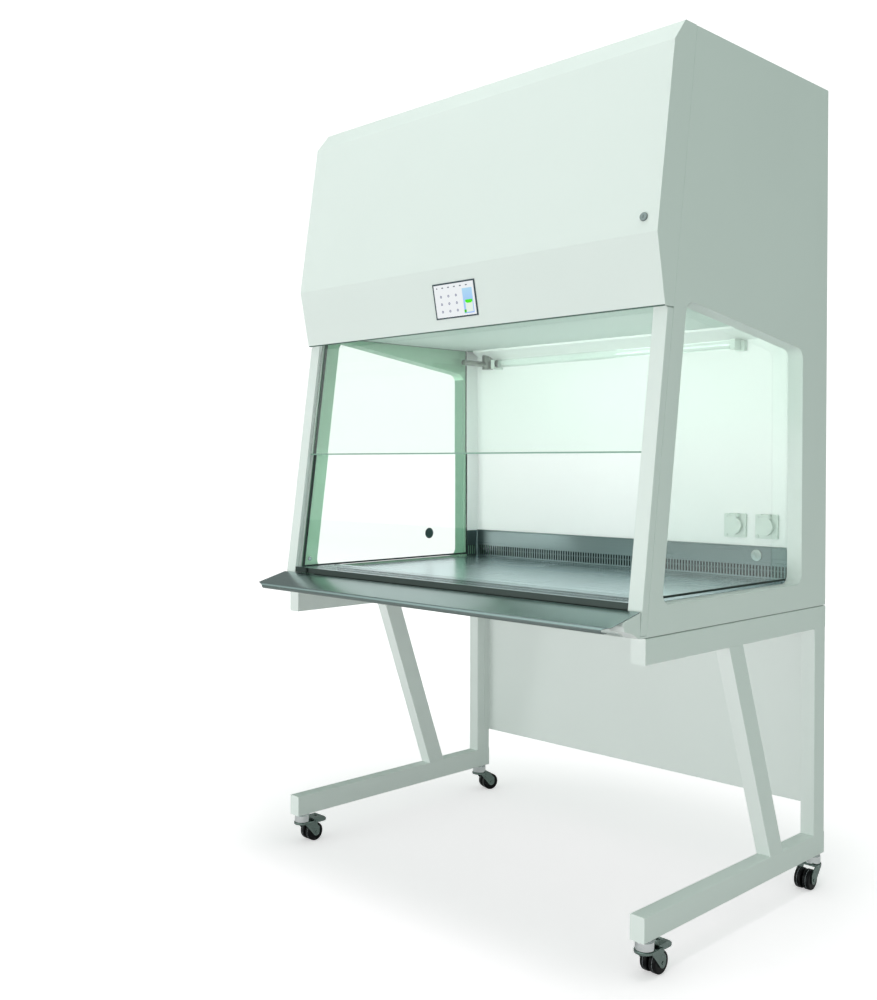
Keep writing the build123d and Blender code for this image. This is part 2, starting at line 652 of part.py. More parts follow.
# Quarter-turn latch of the slotted panel
face_y = liner_y - thin
core = rod((0, 0, 0), (0, 0, 4.5), 16.5)
core = fillet(core.edges().group_by(Axis.Z)[-1], 1.5)
core += rod((0, 0, -14), (0, 0, 0), 8) + Pos(0, 10, -12.5) * Box(9, 30, 2.5)
core -= Rot(0, 0, 35) * Pos(0, 0, 4.5) * Box(3.5, 20, 4)
parts["latch_core"] = Plane(origin=(latch_x, face_y, latch_z), x_dir=(1, 0, 0), z_dir=(0, -1, 0)) * core

# Rear baffle and ceiling diffuser
baffle_low_z = z_ceiling - 35
baffle_top_y = liner_y - liner_return - 3
parts["rear_baffle"] = along_x(outline([(liner_y - 0.3, baffle_low_z), (baffle_top_y, z_ceiling - 7), (baffle_top_y, z_ceiling - 0.3),
                                        (baffle_top_y + thin, z_ceiling - 0.3), (baffle_top_y + thin, z_ceiling - 6.2),
                                        (liner_y - 0.3, baffle_low_z + 1.8)]), -chamber_half + 33, chamber_half - 4)
diffuser_front = panel_edge(z_ceiling) + 16
parts["ceiling_diffuser"] = block(-pan_half, pan_half, diffuser_front, liner_y - liner_return - 2, z_ceiling, z_ceiling + sheet)

# Supply filter, fan plenum with its motor and impeller, exhaust filter
filter_in = 20.0
filter_half = chamber_half - filter_in
z_filter = z_ceiling + sheet
z_filter_top = z_filter + 90
z_plenum = z_top - 130
parts["supply_filter"] = block(-filter_half, filter_half, diffuser_front + 30, 285, z_filter, z_filter_top)


def duct(grow):
    return outline([(diffuser_front + 30 - grow, z_filter_top), (285 + grow, z_filter_top), (330 + grow, z_filter_top + 60),
                    (330 + grow, z_plenum + grow), (diffuser_front + 30 + (z_plenum - z_filter_top) * math.tan(lean) - grow, z_plenum + grow)])


plenum = along_x(duct(0), -filter_half + 5, filter_half - 5) - along_x(duct(-sheet), -filter_half + 5 + sheet, filter_half - 5 - sheet)
plenum -= block(-filter_half + 20, filter_half - 20, diffuser_front + 50, 270, z_filter_top - 5, z_filter_top + 5)
z_fan = z_filter_top + 225
fan_radius = 177.0
fan_front = 195.0
fan_rear = fan_front + 105
plate_thick = 3.0
mouth_radius = 118.0
motor_radius = 75.0
motor_rear = fan_front - 10
motor_front = motor_rear - 90
spindle_radius = 10.0
plenum -= rod((0, fan_rear, z_fan), (0, fan_rear + 50, z_fan), mouth_radius + 7)
plenum -= block(-exhaust_half - 10, exhaust_half + 10, exhaust_front + 20, exhaust_rear, z_plenum - 10, z_plenum + 10)
parts["fan_plenum"] = plenum
motor = rod((0, motor_front, z_fan), (0, motor_rear, z_fan), motor_radius)
motor += rod((0, motor_rear, z_fan), (0, motor_rear + 60, z_fan), spindle_radius)
for x in (-150, 150):
    for z in (-150, 150):
        motor += rod((x, motor_front - 5, z_fan + z), (x, 330 - sheet, z_fan + z), 6)
motor += block(-165, 165, motor_front - 5, motor_front + 1, z_fan - 165, z_fan + 165)
parts["fan_motor"] = motor
impeller = rod((0, fan_front, z_fan), (0, fan_front + plate_thick, z_fan), fan_radius)
impeller += rod((0, fan_front - 5, z_fan), (0, fan_front + 45, z_fan), 26)
rear_ring = rod((0, fan_rear - plate_thick, z_fan), (0, fan_rear, z_fan), fan_radius)
impeller += rear_ring - rod((0, fan_rear - 10, z_fan), (0, fan_rear + 10, z_fan), mouth_radius)
for i in range(7):
    blade = Pos(0, 0, z_fan) * Rot(0, i * 360 / 7, 0) * Pos(130, fan_front + 52.5, 0) * Rot(0, 38, 0) * Box(95, 101, 3)
    impeller += blade & rod((0, fan_front - 5, z_fan), (0, fan_rear + 10, z_fan), fan_radius - 0.5)
impeller -= rod((0, fan_front - 45, z_fan), (0, fan_rear + 20, z_fan), spindle_radius + running_fit)
parts["fan_impeller"] = impeller
parts["exhaust_filter"] = block(-exhaust_half - 30, exhaust_half + 30, exhaust_front + 5, exhaust_rear + 18, z_plenum + 0.2, z_plenum + 102)

# Chamber lamp behind the fascia, carried by the two sash guides
z_lamp = z_fascia + 28
lamp = outline([(post_front(z_lamp) - 10, z_lamp), (post_front(z_lamp) + 6, z_lamp), (post_front(z_lamp + 32) + 6, z_lamp + 32),
                (post_front(z_lamp + 32) - 10, z_lamp + 32)])
parts["chamber_lamp"] = along_x(lamp, -x_inner, x_inner)

# UV tube across the top of the back wall and its two holders
uv_y = liner_y - 30
uv_z = z_cab + 726.5
uv_left = -chamber_half + 123
uv_right = chamber_half - 182
parts["uv_tube"] = rod((uv_left, uv_y, uv_z), (uv_right, uv_y, uv_z), 13)
holders = []
for x0, x1 in ((uv_left - 15, uv_left), (uv_right, uv_right + 15)):
    socket = block(x0, x1, uv_y - 15, uv_y + 17, uv_z - 16, uv_z + 14)
    foot_x = x0 - 12 if x0 < 0 else x0
    holders.append(socket + block(foot_x, foot_x + 27, uv_y + 16, liner_y, uv_z - 18, uv_z + 10))
parts["uv_holders"] = Compound(holders)

# Airflow sensor: a rod forward of a short cylinder hung from the baffle
sensor_x = -chamber_half + 68
sensor_y = liner_y - 19
sensor_z = z_ceiling - 47.5
sensor = rod((sensor_x, sensor_y, sensor_z - 17), (sensor_x, sensor_y, sensor_z + 32), 18.5)
above = outline([(baffle_top_y, z_ceiling - 7 - fit_gap), (liner_y - 0.3, baffle_low_z - fit_gap), (liner_y + 30, baffle_low_z - fit_gap),
                 (liner_y + 30, z_ceiling + 50), (baffle_top_y, z_ceiling + 50)])
sensor -= along_x(above, sensor_x - 40, sensor_x + 40)
sensor += rod((sensor_x, sensor_y - 119, sensor_z), (sensor_x, sensor_y - 2, sensor_z), 9)
parts["airflow_sensor"] = sensor

# Two sockets on the back wall with sprung round lids
socket_z = z_cab + 214.5
bases = []
pin_z = socket_z + 27
socket_from_side = 87.5
socket_pitch = 98.5
lid_x = {"left": chamber_half - socket_from_side - socket_pitch, "right": chamber_half - socket_from_side}
for x in lid_x.values():
    plate = fillet(block(x - 34, x + 34, liner_y - 8, liner_y, socket_z - 34, socket_z + 34).edges().filter_by(Axis.Y), 4)
    plate += rod((x, liner_y - 14, socket_z), (x, liner_y - 7, socket_z), 22)
    for side in (-1, 1):
        plate += block(x + side * 12.5 - 2.5, x + side * 12.5 + 2.5, liner_y - 21, liner_y - 6, pin_z - 4, pin_z + 7)
        for up in (-1, 1):
            plate += rod((x + side * 27, liner_y - 10, socket_z + up * 27), (x + side * 27, liner_y - 7, socket_z + up * 27), 4)
    plate += rod((x - 13, liner_y - 17, pin_z + 3), (x + 13, liner_y - 17, pin_z + 3), 1.5)
    bases.append(plate)
parts["socket_bases"] = Compound(bases)
for side, x in lid_x.items():
    cover = rod((x, liner_y - 21, socket_z), (x, liner_y - 14.4, socket_z), 25)
    cover += block(x - 9.5, x + 9.5, liner_y - 21, liner_y - 14.4, socket_z + 15, pin_z)
    cover -= block(x - 16, x - 9.6, liner_y - 25, liner_y - 5, pin_z - 5, pin_z + 20)
    cover -= block(x + 9.6, x + 16, liner_y - 25, liner_y - 5, pin_z - 5, pin_z + 20)
    cover += rod((x - 9.5, liner_y - 17, pin_z + 3), (x + 9.5, liner_y - 17, pin_z + 3), 4)
    cover -= rod((x - 12, liner_y - 17, pin_z + 3), (x + 12, liner_y - 17, pin_z + 3), 1.5 + running_fit)
    parts["socket_lid_" + side] = cover

# Port plug in the left pane and the dome screws at the foot of both panes
pane_in = x_wall - fit_gap - pane
port_y = 115.5
port_z = z_cab + 155.5
plug = rod((-pane_in, port_y, port_z), (-pane_in + 4, port_y, port_z), 17.5)
parts["port_plug"] = fillet(plug.edges().group_by(Axis.X)[-1], 1.5)
screws = []
for x0, x1 in ((-pane_in, -pane_in + 3), (pane_in - 3, pane_in)):
    screws.append(rod((x0, y_front + 35, z_cab + 99.5), (x1, y_front + 35, z_cab + 99.5), 6))
parts["dome_screws"] = Compound(screws)

# The whole is moved so the origin lies on the floor under the middle of its bounding box
limits = Compound([part for part in parts.values()]).bounding_box()
shift = Pos(-(limits.min.X + limits.max.X) / 2, -(limits.min.Y + limits.max.Y) / 2, -limits.min.Z)
print("shift", shift.position, "size", limits.size)
os.makedirs("parts", exist_ok=True)
for name, part in parts.items():
    export_step(shift * part, "parts/" + name + ".step")
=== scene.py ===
import json
import math

import bpy
from mathutils import Matrix, Vector

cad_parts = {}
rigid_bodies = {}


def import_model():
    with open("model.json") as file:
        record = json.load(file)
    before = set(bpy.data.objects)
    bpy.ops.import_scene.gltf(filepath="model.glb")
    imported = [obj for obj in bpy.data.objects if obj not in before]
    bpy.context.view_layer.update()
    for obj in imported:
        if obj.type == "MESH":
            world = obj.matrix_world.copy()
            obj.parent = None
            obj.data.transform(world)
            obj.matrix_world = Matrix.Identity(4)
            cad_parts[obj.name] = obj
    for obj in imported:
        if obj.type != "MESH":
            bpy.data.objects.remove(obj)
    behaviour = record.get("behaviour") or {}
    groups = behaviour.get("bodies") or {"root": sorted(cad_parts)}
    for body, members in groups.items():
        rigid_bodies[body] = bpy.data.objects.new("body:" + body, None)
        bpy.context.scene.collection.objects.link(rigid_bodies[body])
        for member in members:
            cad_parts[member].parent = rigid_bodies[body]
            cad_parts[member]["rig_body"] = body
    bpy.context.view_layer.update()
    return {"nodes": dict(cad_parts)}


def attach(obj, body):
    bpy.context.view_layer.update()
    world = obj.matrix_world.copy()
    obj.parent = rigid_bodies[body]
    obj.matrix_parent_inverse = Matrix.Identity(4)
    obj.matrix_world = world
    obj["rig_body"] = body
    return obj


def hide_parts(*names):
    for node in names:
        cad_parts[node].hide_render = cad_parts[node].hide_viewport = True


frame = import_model()

# Camera. Standing to the right of the cabinet at chest height, looking level and half left, with the
# principal point a little off the middle of the picture. Place, turn and lens were fitted to the
# projected edges of the cabinet, its stand and its castors.
camera_place = (2.0926, -2.4454, 1.1623)
camera_turn = math.radians(45.540)
camera_pitch = math.radians(-0.838)
camera_roll = math.radians(0.073)
lens_mm, sensor_mm = 40.239, 36
shift_across, shift_up = 0.0019, -0.0211

camera_data = bpy.data.cameras.new("camera")
camera_data.sensor_width = sensor_mm
camera_data.lens = lens_mm
camera_data.shift_x = shift_across
camera_data.shift_y = shift_up
camera_data.clip_start = 0.05
camera_data.clip_end = 60
camera = bpy.data.objects.new("camera", camera_data)
bpy.context.scene.collection.objects.link(camera)
facing = (Matrix.Rotation(camera_turn, 3, "Z") @ Matrix.Rotation(math.pi / 2 + camera_pitch, 3, "X")
          @ Matrix.Rotation(camera_roll, 3, "Z"))
camera.location = camera_place
camera.rotation_euler = facing.to_euler()
bpy.context.scene.camera = camera
bpy.context.scene.view_settings.view_transform = "Standard"


# Studio. A pale seamless floor under soft daylight: the side of the cabinet that faces the camera's
# right is in open shade, and its front is lit by one large soft window on the left.
def hex_colour(code):
    """The linear colour of an sRGB hex value."""
    parts = [int(code[i:i + 2], 16) / 255 for i in (1, 3, 5)]
    return tuple(c / 12.92 if c <= 0.04045 else ((c + 0.055) / 1.055) ** 2.4 for c in parts) + (1.0,)


def add(tree, kind, values=None, **settings):
    """One node: settings are its options, and values its inputs, each a plain value or a socket to link."""
    made = tree.nodes.new(kind)
    for name, setting in settings.items():
        setattr(made, name, setting)
    for name, value in (values or {}).items():
        if isinstance(value, bpy.types.NodeSocket):
            tree.links.new(value, made.inputs[name])
        else:
            made.inputs[name].default_value = value
    return made


def new_material(name):
    """An empty material with its tree and its output node."""
    material = bpy.data.materials.new(name)
    material.use_nodes = True
    material.node_tree.nodes.clear()
    return material, material.node_tree, add(material.node_tree, "ShaderNodeOutputMaterial")


def backdrop_rays(tree):
    """1 for the rays that see the backdrop: the camera's, and those let through by glass."""
    rays = add(tree, "ShaderNodeLightPath").outputs
    either = {0: rays["Is Camera Ray"], 1: rays["Is Transmission Ray"]}
    return add(tree, "ShaderNodeMath", either, operation="MAXIMUM").outputs[0]


world = bpy.data.worlds.new("studio")
world.use_nodes = True
sky = world.node_tree
sky.nodes.clear()
ambient = add(sky, "ShaderNodeBackground", {"Color": hex_colour("#DAF0E5"), "Strength": 0.56})
white_out = add(sky, "ShaderNodeBackground", {"Color": (1, 1, 1, 1), "Strength": 1.15})
# Polished metal mirrors a bright window high at the front and a dimmer room elsewhere
window_at, room_strength, window_strength = (-0.24, -0.74, 0.63), 0.36, 1.6
looking = add(sky, "ShaderNodeTexCoord").outputs["Generated"]
toward = add(sky, "ShaderNodeVectorMath", {0: looking, 1: window_at}, operation="DOT_PRODUCT")
window = add(sky, "ShaderNodeMapRange", {
    0: toward.outputs["Value"], 1: 0.58, 2: 0.95, 3: room_strength, 4: window_strength})
mirrored = add(sky, "ShaderNodeBackground", {"Color": hex_colour("#E8F2EE"), "Strength": window.outputs[0]})
glossy = add(sky, "ShaderNodeLightPath").outputs["Is Glossy Ray"]
room = add(sky, "ShaderNodeMixShader", {0: glossy, 1: ambient.outputs[0], 2: mirrored.outputs[0]})
seen = add(sky, "ShaderNodeMixShader", {0: backdrop_rays(sky), 1: room.outputs[0], 2: white_out.outputs[0]})
add(sky, "ShaderNodeOutputWorld", {"Surface": seen.outputs[0]})
bpy.context.scene.world = world

# The floor keeps the shadow of the cabinet, and a glow that only the backdrop rays see lifts the rest to
# white, the more the further out, so that it meets the white behind it without a horizon
glow_from, glow_to, glow_least, glow_most = 0.8, 2.2, 0.46, 0.85
bpy.ops.mesh.primitive_circle_add(vertices=64, radius=7.0, fill_type="NGON", location=(0, 0, 0))
floor = bpy.context.object
floor.name = "floor"
floor_paper, tree, output = new_material("seamless_paper")
matt = add(tree, "ShaderNodeBsdfDiffuse", {"Color": hex_colour("#F2E6EC")})
on_floor = add(tree, "ShaderNodeTexCoord").outputs["Object"]
reach = add(tree, "ShaderNodeVectorMath", {0: on_floor}, operation="LENGTH")
rise = add(tree, "ShaderNodeMapRange", {
    0: reach.outputs["Value"], 1: glow_from, 2: glow_to, 3: glow_least, 4: glow_most})
glow = add(tree, "ShaderNodeEmission", {"Color": (1, 1, 1, 1), "Strength": rise.outputs[0]})
lifted = add(tree, "ShaderNodeAddShader", {0: matt.outputs[0], 1: glow.outputs[0]})
paper = add(tree, "ShaderNodeMixShader", {0: backdrop_rays(tree), 1: matt.outputs[0], 2: lifted.outputs[0]})
tree.links.new(paper.outputs[0], output.inputs["Surface"])
floor.data.materials.append(floor_paper)


def soft_lamp(name, place, aim, size, watts, tint):
    """A large rectangular area lamp at place, facing aim, with no glint of its own in metal or glass."""
    data = bpy.data.lights.new(name, "AREA")
    data.shape = "RECTANGLE"
    data.size, data.size_y = size
    data.energy = watts
    data.color = hex_colour(tint)[:3]
    lamp = bpy.data.objects.new(name, data)
    lamp.visible_glossy = False
    bpy.context.scene.collection.objects.link(lamp)
    lamp.location = place
    lamp.rotation_euler = (Vector(aim) - Vector(place)).to_track_quat("-Z", "Y").to_euler()


soft_lamp("window_left", (-1.6, -6.5, 0.65), (0, 0, 0.9), (6.0, 1.2), 195, "#FFFFFF")
soft_lamp("fill_right", (4.6, -1.2, 0.9), (0.65, 0, 1.0), (3.0, 1.6), 15, "#EAFFF3")
soft_lamp("overhead", (0.5, -0.5, 5.6), (0, 0, 0), (1.6, 1.6), 78, "#FFFFFF")


# Stand. Two side frames of 60 by 40 mm steel tube, welded and ground flush, with a folded sheet panel
# between the rear posts. All of it is powder-coated in a cool white with a satin, faintly pebbled skin.
def in_object_space(tree):
    """The position on the piece in metres."""
    return add(tree, "ShaderNodeTexCoord").outputs["Object"]


def powder_coat(name, colour, rough):
    """Polyester powder coat: the melted grains leave a soft orange peel, a little uneven in gloss."""
    material, tree, output = new_material(name)
    place = in_object_space(tree)
    clouds = add(tree, "ShaderNodeTexNoise", {"Vector": place, "Scale": 3.0, "Detail": 2.0})
    dimmer = [c * 0.965 for c in hex_colour(colour)[:3]] + [1.0]
    tones = {0: clouds.outputs[0], 6: dimmer, 7: hex_colour(colour)}
    tone = add(tree, "ShaderNodeMix", tones, data_type="RGBA")
    gloss = add(tree, "ShaderNodeMapRange", {0: clouds.outputs[0], 3: rough - 0.05, 4: rough + 0.05})
    # 1.5 mm orange peel, drawn at 3 mm so that it shows at all
    peel = add(tree, "ShaderNodeTexNoise", {"Vector": place, "Scale": 330.0, "Detail": 1.0})
    bump = add(tree, "ShaderNodeBump", {"Height": peel.outputs[0], "Strength": 0.25, "Distance": 0.00008})
    skin = add(tree, "ShaderNodeBsdfPrincipled", {
        "Base Color": tone.outputs[2], "Roughness": gloss.outputs[0], "Normal": bump.outputs[0],
        "Specular IOR Level": 0.45})
    tree.links.new(skin.outputs[0], output.inputs["Surface"])
    return material


def select_only(piece):
    """Leaves one object selected and active, for an operator."""
    bpy.ops.object.select_all(action="DESELECT")
    piece.select_set(True)
    bpy.context.view_layer.objects.active = piece


def finish_mesh(piece, edge):
    """Smooths what is curved and rounds the edges sharper than 30 degrees by edge metres."""
    corner = math.radians(30)
    select_only(piece)
    bpy.ops.object.shade_smooth_by_angle(angle=corner)
    if edge:
        bevel = piece.modifiers.new("edge", "BEVEL")
        bevel.width = edge
        bevel.segments = 2
        bevel.limit_method = "ANGLE"
        bevel.angle_limit = corner
        bevel.harden_normals = True
        bpy.ops.object.modifier_apply(modifier="edge")


def give(piece, *materials):
    """The piece's material slots, in order."""
    piece.data.materials.clear()
    for material in materials:
        piece.data.materials.append(material)


def broken_edges(node, material, edge, relief=None):
    """A copy of a CAD piece, merged and with its sharp edges broken as a press brake or a file leaves them.
    What lies lower than relief is drawn in towards the middle, as a shadow gap."""
    same_point, same_plane, drawn_in = 0.00001, math.radians(0.5), 0.98
    source = frame["nodes"][node]
    piece = bpy.data.objects.new(node + "_finished", source.data.copy())
    bpy.context.scene.collection.objects.link(piece)
    select_only(piece)
    bpy.ops.mesh.customdata_custom_splitnormals_clear()
    bpy.ops.object.mode_set(mode="EDIT")
    bpy.ops.mesh.select_all(action="SELECT")
    bpy.ops.mesh.remove_doubles(threshold=same_point)
    bpy.ops.mesh.dissolve_limited(angle_limit=same_plane)
    if relief:
        bpy.ops.mesh.select_all(action="SELECT")
        bpy.ops.mesh.bisect(plane_co=(0, 0, relief), plane_no=(0, 0, 1))
    bpy.ops.object.mode_set(mode="OBJECT")
    if relief:
        for point in piece.data.vertices:
            if point.co.z < relief - 0.0005:
                point.co.x *= drawn_in
                point.co.y *= drawn_in
    finish_mesh(piece, edge)
    give(piece, material)
    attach(piece, source["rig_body"])
    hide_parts(node)
    return piece


cool_white = powder_coat("powder_coat_cool_white", "#E6ECE9", 0.42)
for node in ("stand_frame_left", "stand_frame_right"):
    broken_edges(node, cool_white, 0.0012)
broken_edges("modesty_panel", cool_white, 0.0005)


# Castors. Pressed steel forks and bearing cups, bright zinc plated, with twin black nylon wheels; the
# front pair has a brake pedal. The plate mirrors its surroundings with a cloudy, slightly blue sheen.
def zinc_plate(name, colour, rough):
    """Bright zinc plating: near mirror, with the clouds of the passivation bath."""
    material, tree, output = new_material(name)
    place = in_object_space(tree)
    clouds = add(tree, "ShaderNodeTexNoise", {"Vector": place, "Scale": 60.0, "Detail": 3.0})
    gloss = add(tree, "ShaderNodeMapRange", {
        0: clouds.outputs[0], 1: 0.3, 2: 0.7, 3: rough - 0.06, 4: rough + 0.08})
    tones = {0: 0.2, 6: hex_colour(colour), 7: hex_colour("#D5DBDC")}
    tone = add(tree, "ShaderNodeMix", tones, data_type="RGBA")
    plate = add(tree, "ShaderNodeBsdfPrincipled", {
        "Base Color": tone.outputs[2], "Metallic": 1.0, "Roughness": gloss.outputs[0]})
    tree.links.new(plate.outputs[0], output.inputs["Surface"])
    return material


def moulded(name, colour, rough, grain, depth, sheen=0.5):
    """Moulded plastic or rubber with the fine eroded texture of its tool: grain and depth in metres."""
    material, tree, output = new_material(name)
    place = in_object_space(tree)
    texture = add(tree, "ShaderNodeTexNoise", {"Vector": place, "Scale": 1 / grain, "Detail": 2.0})
    gloss = add(tree, "ShaderNodeMapRange", {0: texture.outputs[0], 3: rough - 0.06, 4: rough + 0.06})
    bump = add(tree, "ShaderNodeBump", {"Height": texture.outputs[0], "Strength": 0.4, "Distance": depth})
    skin = add(tree, "ShaderNodeBsdfPrincipled", {
        "Base Color": hex_colour(colour), "Roughness": gloss.outputs[0], "Normal": bump.outputs[0],
        "Specular IOR Level": sheen})
    tree.links.new(skin.outputs[0], output.inputs["Surface"])
    return material


bright_zinc = zinc_plate("bright_zinc_plate", "#EEF3F3", 0.12)
shaded_zinc = zinc_plate("yellow_zinc_in_shade", "#5D766C", 0.22)
black_nylon = moulded("moulded_black_nylon", "#07080A", 0.32, 0.0012, 0.00005, 0.2)
# a light grey for the lines drawn around each tyre
tread_grey = moulded("light_tread_line", "#B9BFC4", 0.4, 0.0012, 0.00002)
# swivel axis in metres and heading of each wheel; the wheel trails behind the axis
wheel_radius, trail = 0.0275, 0.0360
line_apart, line_radius, line_thick = 0.0125, 0.02735, 0.00030
wheel_spots = {"fl": (-0.630, -0.34885, math.radians(90)), "fr": (0.630, -0.34885, math.radians(90)),
               "rl": (-0.630, 0.44115, math.radians(72)), "rr": (0.630, 0.44115, math.radians(-90))}
broken_edges("castor_heads", bright_zinc, 0)
for corner in ("fl", "fr", "rl", "rr"):
    broken_edges("castor_fork_" + corner, shaded_zinc, 0.0004)
    broken_edges("castor_wheels_" + corner, black_nylon, 0)
    # a light grey line around each tyre: 25 mm apart on the 55 mm wheels
    place_x, place_y, heading = wheel_spots[corner]
    along = Vector((math.cos(heading), math.sin(heading), 0))
    axle = Vector((place_x, place_y, wheel_radius)) + along * trail
    across = Vector((-along.y, along.x, 0))
    for side in (-1, 1):
        bpy.ops.mesh.primitive_torus_add(major_radius=line_radius, minor_radius=line_thick, major_segments=64,
                                         minor_segments=8, location=axle + across * line_apart * side,
                                         rotation=(math.pi / 2, 0, heading))
        ring = bpy.context.object
        ring.name = "tread_line_%s_%d" % (corner, side)
        bpy.ops.object.transform_apply(location=True, rotation=True, scale=True)
        bpy.ops.object.shade_smooth()
        give(ring, tread_grey)
        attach(ring, frame["nodes"]["castor_wheels_" + corner]["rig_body"])
for corner in ("fl", "fr"):
    broken_edges("brake_pedal_" + corner, shaded_zinc, 0.0004)


# Cabinet shell. Folded and welded sheet steel in the same powder coat: two thick side walls cut out for
# the windows, sash posts, base with its cheeks, rear and top panels, and the guard over the exhaust.
def second_material(piece, material, chosen):
    """Puts material on the faces for which chosen(centre, normal) holds."""
    piece.data.materials.append(material)
    for face in piece.data.polygons:
        if chosen(face.center, face.normal):
            face.material_index = len(piece.data.materials) - 1


# The underside is folded in 2 mm above the stand, so that a dark line runs between the two
underside = 0.7725
# the left wall's reveals and the wall around them, which the pane colours green: drawn as paint, with painted
# light on the wall's inner face and the reveals over the window, and painted shade on the reveals at its
# sides and below
wall_inside, window_half, window_low, window_top, shade_from = -0.649, 0.38, 0.80, 1.56, 1.40
reveal_painted_light = powder_coat("powder_coat_in_green_light", "#D6FFE4", 0.42)
reveal_shade = powder_coat("powder_coat_in_green_shade", "#84B398", 0.42)
for node in ("side_panel_left", "side_panel_right"):
    panel = broken_edges(node, cool_white, 0.0035, underside)
    second_material(panel, reveal_painted_light, lambda at, normal: at.x < 0 and (normal.x > 0.9 or (
        at.x > wall_inside and abs(at.y) < window_half
        and shade_from < at.z < window_top and normal.z < -0.3)))
    second_material(panel, reveal_shade, lambda at, normal: (
        wall_inside < at.x < 0 and abs(at.y) < window_half and window_low < at.z < window_top
        and abs(normal.x) < 0.5 and normal.z > -0.3))
for node in ("sash_guide_left", "sash_guide_right"):
    broken_edges(node, cool_white, 0.0020)
broken_edges("base_housing", cool_white, 0.0015, underside)
# the back panel's inner face, seen only through the rear slots, is drawn near black as painted shade
plenum_painted_shade = moulded("back_panel_inner_painted_shade", "#101413", 0.8, 0.004, 0.0002, 0.1)
rear = broken_edges("back_panel", cool_white, 0.0004)
second_material(rear, plenum_painted_shade, lambda at, normal: normal.y < -0.9)
for node in ("top_panel", "exhaust_guard"):
    broken_edges(node, cool_white, 0.0004)


# Side panes. Clear 6 mm float glass, cut and ground, let into an extruded black rubber gasket that is
# pressed over the edge of the window. The glass is green where it is seen on edge.
def float_glass(name, tint):
    """Soda-lime float glass, through which shadow rays pass, so that the chamber is lit as behind a pane."""
    material, tree, output = new_material(name)
    glass = add(tree, "ShaderNodeBsdfPrincipled", {
        "Base Color": hex_colour(tint), "Transmission Weight": 1.0, "IOR": 1.5, "Roughness": 0.0})
    clear = add(tree, "ShaderNodeBsdfTransparent", {"Color": hex_colour(tint)})
    rays = add(tree, "ShaderNodeLightPath").outputs
    pane = add(tree, "ShaderNodeMixShader", {
        0: rays["Is Shadow Ray"], 1: glass.outputs[0], 2: clear.outputs[0]})
    tree.links.new(pane.outputs[0], output.inputs["Surface"])
    return material


float_green = float_glass("float_glass_green_edge", "#F4FBF7")
gasket_rubber = moulded("epdm_rubber", "#2C3734", 0.7, 0.0008, 0.00008)
for node in ("side_glass_left", "side_glass_right"):
    broken_edges(node, float_green, 0)
broken_edges("glass_gaskets", gasket_rubber, 0)


# Sash. One sheet of the same glass that slides in the posts, hung by a clamp bar from two toothed belts
# over a shaft behind the hood.
def brushed(name, dark, light, rough, along, bite):
    """Brushed metal: fine scratches along one axis, each a little lighter or rougher than the next."""
    material, tree, output = new_material(name)
    place = in_object_space(tree)
    # 0.3 mm grit lines, drawn 1.2 mm apart so that they show, and up to a quarter metre long
    stretch = [800.0, 800.0, 800.0]
    stretch["XYZ".index(along)] = 4.0
    lines = add(tree, "ShaderNodeMapping", {"Vector": place, "Scale": stretch})
    grit = add(tree, "ShaderNodeTexNoise", {"Vector": lines.outputs[0], "Scale": 1.0, "Detail": 3.0})
    clouds = add(tree, "ShaderNodeTexNoise", {"Vector": place, "Scale": 9.0, "Detail": 2.0})
    tones = {0: grit.outputs[0], 6: hex_colour(dark), 7: hex_colour(light)}
    tone = add(tree, "ShaderNodeMix", tones, data_type="RGBA")
    uneven = add(tree, "ShaderNodeMix", {0: 0.35, 2: grit.outputs[0], 3: clouds.outputs[0]})
    gloss = add(tree, "ShaderNodeMapRange", {
        0: uneven.outputs[0], 1: 0.3, 2: 0.7, 3: rough - 0.015, 4: rough + 0.025})
    bump = add(tree, "ShaderNodeBump", {"Height": grit.outputs[0], "Strength": bite, "Distance": 0.0001})
    metal = add(tree, "ShaderNodeBsdfPrincipled", {
        "Base Color": tone.outputs[2], "Metallic": 1.0, "Roughness": gloss.outputs[0],
        "Normal": bump.outputs[0]})
    tree.links.new(metal.outputs[0], output.inputs["Surface"])
    return material


anodised = brushed("anodised_aluminium", "#B9BEC1", "#CDD1D3", 0.38, "X", 0.1)
sash = broken_edges("sash_glass", float_green, 0)
ground_edge = moulded("ground_glass_edge", "#86A898", 0.35, 0.0006, 0.00002)
# the lowest edge, ground to a bevel, scatters the light
ground_top = 1.1885
select_only(sash)
bpy.ops.object.mode_set(mode="EDIT")
bpy.ops.mesh.select_all(action="SELECT")
bpy.ops.mesh.bisect(plane_co=(0, 0, ground_top), plane_no=(0, 0, 1))
bpy.ops.object.mode_set(mode="OBJECT")
second_material(sash, ground_edge, lambda at, normal: at.z < ground_top)
broken_edges("sash_clamp_bar", anodised, 0.0005)
broken_edges("sash_shaft", anodised, 0)
broken_edges("sash_belts", gasket_rubber, 0)


# Work chamber. Lift-out trays, pan, intake grille and slotted rear panel of brushed stainless sheet; the
# liner above them, the baffle and the ceiling diffuser are powder-coated.
stainless = brushed("brushed_stainless_304", "#C9DDE2", "#D2E3E8", 0.26, "X", 0.01)
chamber_white = powder_coat("powder_coat_chamber_white", "#FBFCFB", 0.35)
ceiling_white = powder_coat("powder_coat_ceiling", "#DCE8E2", 0.45)
pan_steel = brushed("apron_stainless_in_shade", "#515B57", "#5F6966", 0.40, "X", 0.08)
